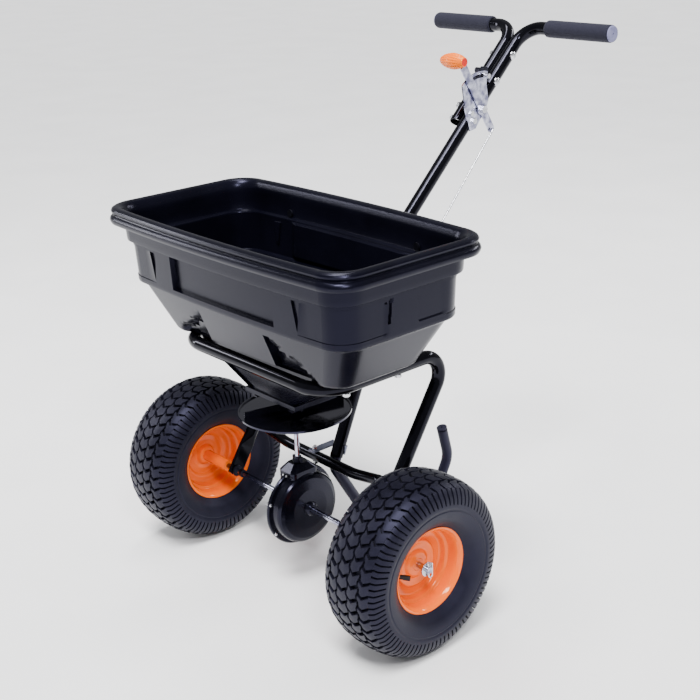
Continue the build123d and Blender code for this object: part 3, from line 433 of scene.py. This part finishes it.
# ------------------------------------------------------------------ tyres
def build_tyre(side):
    """Turf tyre: zigzag blocks on the crown, radial shoulder lugs, plain sidewall with a thin ring."""
    x0 = side * WHEEL_X
    pitches = 42
    # half of the cross-section, from the crown to the bead: distance from the middle plane and radius
    half = smooth_line([(0, 165), (16, 164.6), (30, 162.9), (42, 160), (52, 155), (59.5, 148), (64, 139),
                        (66.6, 129), (66.9, 119), (65.4, 109), (62, 99), (56.5, 90), (50, 83), (45.5, 79.6),
                        (42, 77.6)], 4)
    arc = [0.0]
    for p, q in zip(half[:-1], half[1:]):
        arc.append(arc[-1] + math.hypot(q[0] - p[0], q[1] - p[1]))
    total = arc[-1]

    def section(s):
        """Place and outward direction at the arc position s from the crown."""
        sign = 1 if s >= 0 else -1
        s = min(abs(s), total)
        for i in range(len(arc) - 1):
            if s <= arc[i + 1]:
                f = (s - arc[i]) / (arc[i + 1] - arc[i])
                x = half[i][0] + (half[i + 1][0] - half[i][0]) * f
                r = half[i][1] + (half[i + 1][1] - half[i][1]) * f
                dx, dr = half[i + 1][0] - half[i][0], half[i + 1][1] - half[i][1]
                l = math.hypot(dx, dr)
                return sign * x, r, sign * -dr / l, dx / l
        return sign * half[-1][0], half[-1][1], sign * 0.7, -0.7

    # lines across the section: column edges doubled so that groove walls stay steep
    rows = [0, 4, 8, 10.6, 11.3, 13.7, 14.4, 17, 21, 25, 29, 33.6, 34.3, 36.7, 37.4, 41, 44, 48, 52, 55.6,
            56.4, 59, 62, 66, 70, 74, 78, 82, 85.4, 87.0, 90, 94, 95.4, 96.4, 97.6, 98.8, 104, 110, 117, 124]
    rows = [-s for s in reversed(rows[1:])] + rows
    rows = [s for s in rows if abs(s) < total]
    rows = [-total] + rows + [total]
    # lines of one tread pitch, as shares of it
    cols = [0.0, 0.03, 0.05, 0.11, 0.17, 0.19, 0.23, 0.27, 0.29, 0.36, 0.44, 0.50, 0.53, 0.55, 0.61, 0.67,
            0.69, 0.73, 0.77, 0.79, 0.86, 0.94]

    def zig(s):
        """Lean of the cross grooves along the section, in pitches: one shallow V in each row of blocks."""
        a = abs(s)
        pts = [(0, 0.30), (11, 0.0), (14, 0.0), (21, 0.32), (34, 0.02), (37, 0.0), (44, 0.30), (56, 0.06),
               (66, 0.10), (86, -0.05)]
        for (s0, z0), (s1, z1) in zip(pts[:-1], pts[1:]):
            if a <= s1:
                return z0 + (z1 - z0) * (a - s0) / (s1 - s0)
        return -0.05

    def depth(s, f):
        """Groove depth at arc position s and pitch fraction f."""
        a = abs(s)
        if a > 86.2:
            return 0.9 if 95.2 < a < 97.8 else 0.0
        full = 7.2 if a < 57 else 7.2 - 3.6 * blend01(a, 57, 86)
        if 11 < a < 14 or 34 < a < 37:
            return full
        if a > 56:
            return full if 0.04 < f < 0.18 or 0.54 < f < 0.68 else 0.0
        if 14 < a < 34:
            return full if 0.54 < f < 0.78 else 0.0
        return full if 0.04 < f < 0.28 else 0.0

    def step(f):
        """Side to side shift of the ring grooves, so that the blocks of neighbouring rows interlock."""
        if f < 0.28:
            return 1 - 7.14 * f
        if f < 0.53:
            return -1.0
        return -1 + 2 * min(1.0, (f - 0.53) / 0.25)

    def heel(s, f):
        """Block tops fall a little from one edge to the other."""
        a = abs(s)
        if a > 56:
            return 0.0
        start = 0.79 if 14 < a < 34 else 0.29
        return 1.3 * ((f - start) % 1.0)

    verts, faces = [], []
    nc = len(cols)
    count = pitches * nc
    for k in range(pitches):
        for f in cols:
            for s in rows:
                swing = 1.5 * math.copysign(1, s) * step(f) if 9 < abs(s) < 38 else 0.0
                x, r, nx, nr = section(s + swing)
                d = depth(s, f) + heel(s, f)
                fade = 1 - blend01(abs(s), 86, 100)
                lean = zig(s) * fade
                ang = 2 * math.pi * (k + f + lean) / pitches
                x, r = x - nx * d, r - nr * d
                verts.append(((x0 + x) * MM, YS + r * math.cos(ang) * MM, AZ + r * math.sin(ang) * MM))
            for x, r in ((38.7, 73.3), (-38.7, 73.3)):
                ang = 2 * math.pi * (k + f) / pitches
                verts.append(((x0 + x) * MM, YS + r * math.cos(ang) * MM, AZ + r * math.sin(ang) * MM))
    last = len(rows) - 1
    per = len(rows) + 2
    for i in range(count):
        j = (i + 1) % count
        for q in range(last):
            faces.append((i * per + q, i * per + q + 1, j * per + q + 1, j * per + q))
        for a, b in ((last, last + 1), (last + 1, last + 2), (last + 2, 0)):
            faces.append((i * per + a, i * per + b, j * per + b, j * per + a))
    name = f"tyre_{SIDE[side]}"
    finish_mesh(f"{name}_tread", verts, faces, "tyre", BODY[side], [name], angle=38)


for side in (1, -1):
    build_tyre(side)


# ------------------------------------------------------------------ rims
def build_rim(side):
    """Pressed wheel disc as one turned shell; an outline point is (outward from the middle plane, radius)."""
    # face of the dish seen from outside, from the curled edge in to the hub
    face = smooth_line([
        (41.6, 77.2), (44.4, 79.6), (46, 80), (46.6, 78.4), (45, 75.4), (42, 73.0), (39, 71.2), (34, 70.0),
        (22, 69.2), (19.5, 68.0), (17.5, 65.0), (15, 63.4), (10, 62.6), (6.8, 61.0), (5.4, 57), (5.2, 50),
        (6.6, 45.4), (9.6, 43.2), (10.6, 40), (9.6, 36), (8.6, 31), (8.8, 27), (11.4, 24.4), (13.6, 21.6),
        (14.2, 18.0), (14.6, 14.6), (14.6, 11.7)], 4)
    # and back out along the inner side
    back = smooth_line([
        (-4.4, 11.7), (-4.0, 15), (-1, 18.4), (6.4, 21.4), (6.6, 26), (5.6, 31), (6.4, 37), (6.8, 41.6),
        (3.8, 44.6), (1.4, 49), (0.8, 57), (-1.4, 61.0), (-5, 62.6), (-10, 63.2), (-15, 63.6), (-17.5, 65.0),
        (-19.5, 68.0), (-22, 69.2), (-34, 70.0), (-39, 71.2), (-42, 73.0), (-45, 75.4), (-46.6, 78.4),
        (-46, 80), (-44.4, 79.6), (-41.6, 77.2)], 4)
    # under the tyre
    seat = [(-39.6, 73.2), (-36, 72.2), (-22, 71.6), (-18, 70), (-15, 65.2), (15, 65.2), (18, 70), (22, 71.6),
            (36, 72.2), (39.6, 73.2)]
    outline = [(side * x, r) for x, r in face + back + seat]
    name = f"rim_{SIDE[side]}"
    revolved(f"{name}_dish", outline, side * WHEEL_X, YS, AZ, 128, "rim", BODY[side], [name])


for side in (1, -1):
    build_rim(side)


# ------------------------------------------------------------------ grips and knob
def build_grip(side):
    """Foam sleeve with rounded ends on one end of the handle."""
    bore, outside = 12.75, 16.5
    outline = [(72, bore), (72, 14.4), (72.6, 15.4), (74, 16.2), (77, outside)]
    outline += [(77 + 143 * k / 12, outside) for k in range(1, 13)]
    outline += [(223.4, 16.3), (225, 15.6), (225, bore)]
    outline = [(side * x, r) for x, r in outline]
    name = f"grip_{SIDE[side]}"
    revolved(f"{name}_foam", outline, 0, GRIP_Y, GRIP_Z, 96, "foam", "chassis", [name])


for side in (1, -1):
    build_grip(side)


def build_knob():
    """Ribbed barrel of the lever, red at its outer end."""
    lo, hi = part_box("lever_knob")
    y0, z0 = (lo.y + hi.y) / 2, (lo.z + hi.z) / 2
    steps, ribs, rib_depth = 144, 18, 0.9
    end_x, end_r = 38.5, 7.6
    prof = smooth_line([
        (-21, 0.2), (-21, 0.2), (-20.6, 4.0), (-18, 7.4), (-10, 11.4), (0, 14.2), (10, 15.4), (20, 14.8),
        (30, 12.2), (36, 9.8), (39, 8.8), (40, 7.4), (40, 7.4), (39.2, 6.0), (39.2, 0.2)], 5)
    verts, faces = [], []
    n = len(prof)
    for k in range(steps):
        a = 2 * math.pi * k / steps
        for x, r in prof:
            rib = rib_depth * (0.5 - 0.5 * math.cos(ribs * a))
            r -= rib * blend01(x, -18, -8) * (1 - blend01(x, 24, 34))
            verts.append((x * MM, y0 + r * math.cos(a) * MM, z0 + r * math.sin(a) * MM))
    for k in range(steps):
        k2 = (k + 1) % steps
        for i in range(n - 1):
            faces.append((k * n + i, k * n + i + 1, k2 * n + i + 1, k2 * n + i))
    c0, c1 = len(verts), len(verts) + 1
    verts += [(prof[0][0] * MM, y0, z0), (prof[-1][0] * MM, y0, z0)]
    for k in range(steps):
        k2 = (k + 1) % steps
        faces.append((c0, k * n, k2 * n))
        faces.append((c1, k2 * n + n - 1, k * n + n - 1))
    o = finish_mesh("knob_barrel", verts, faces, "knob", "lever", ["lever_knob"])
    o.data.materials.append(M["knob_end"])
    for f in o.data.polygons:
        if f.center.x > end_x * MM and math.hypot(f.center.y - y0, f.center.z - z0) < end_r * MM:
            f.material_index = 1


build_knob()


# ------------------------------------------------------------------ stage, light, camera
def studio():
    """Pale floor, weak even surroundings, a broad sun and four soft boxes."""
    me = bpy.data.meshes.new("floor")
    half = 40.0
    me.from_pydata([(-half, -half, 0), (half, -half, 0), (half, half, 0), (-half, half, 0)], [], [(0, 1, 2, 3)])
    floor = bpy.data.objects.new("floor", me)
    bpy.context.scene.collection.objects.link(floor)
    me.materials.append(material("floor_white", (.90, .90, .905), (.94, .94, .945), (.8, .9), scale=3))

    world = bpy.data.worlds.new("studio")
    bpy.context.scene.world = world
    world.use_nodes = True
    background = world.node_tree.nodes["Background"]
    background.inputs["Color"].default_value = (.95, .96, 1, 1)
    background.inputs["Strength"].default_value = 0.42

    def area(name, place, target, size_x, size_y, power):
        light = bpy.data.lights.new(name, "AREA")
        light.shape = "RECTANGLE"
        light.size, light.size_y = size_x, size_y
        light.energy = power
        lamp = bpy.data.objects.new(name, light)
        lamp.location = place
        lamp.rotation_euler = (Vector(target) - Vector(place)).to_track_quat("-Z", "Y").to_euler()
        bpy.context.scene.collection.objects.link(lamp)

    area("key", (2.6, -1.6, 3.2), (0, 0, .4), .7, .7, 95)
    area("top", (-.6, -.2, 3.4), (0, 0, .5), 2.2, .5, 70)
    area("left", (-2.8, -1.8, 1.6), (0, 0, .5), .4, 1.8, 45)
    area("rear", (.8, 3.2, 2.2), (0, 0, .5), 2.0, .4, 45)
    sun = bpy.data.lights.new("sun", "SUN")
    sun.energy = 5.0
    sun.angle = 0.35
    lamp = bpy.data.objects.new("sun", sun)
    lamp.rotation_euler = (.35, .25, 0)
    bpy.context.scene.collection.objects.link(lamp)


def camera():
    """Camera at the height, distance and tilt that put the wheels, the rim and the grips where they belong."""
    yaw, pitch, roll = 0.848003, 0.373658, -0.03269
    # focal length and the optical centre's offset as shares of the picture's width
    focal, shift_x, shift_y = 1241.04 / 700, -16.57 / 700, 16.36 / 700
    sensor = 36
    c, s = math.cos, math.sin
    ahead = Vector((-s(yaw) * c(pitch), c(yaw) * c(pitch), -s(pitch)))
    right = Vector((c(yaw), s(yaw), 0))
    up = right.cross(ahead)
    rolled_right = right * c(roll) + up * s(roll)
    rolled_up = up * c(roll) - right * s(roll)
    lens = bpy.data.cameras.new("camera")
    lens.sensor_width = sensor
    lens.lens = focal * sensor
    lens.shift_x = shift_x
    lens.shift_y = shift_y
    lens.clip_end = 60
    o = bpy.data.objects.new("camera", lens)
    m = Matrix((rolled_right, rolled_up, -ahead)).transposed().to_4x4()
    m.translation = Vector((1.68145, -1.30204 + YS, 1.27420))
    o.matrix_world = m
    bpy.context.scene.collection.objects.link(o)
    bpy.context.scene.camera = o


studio()
camera()
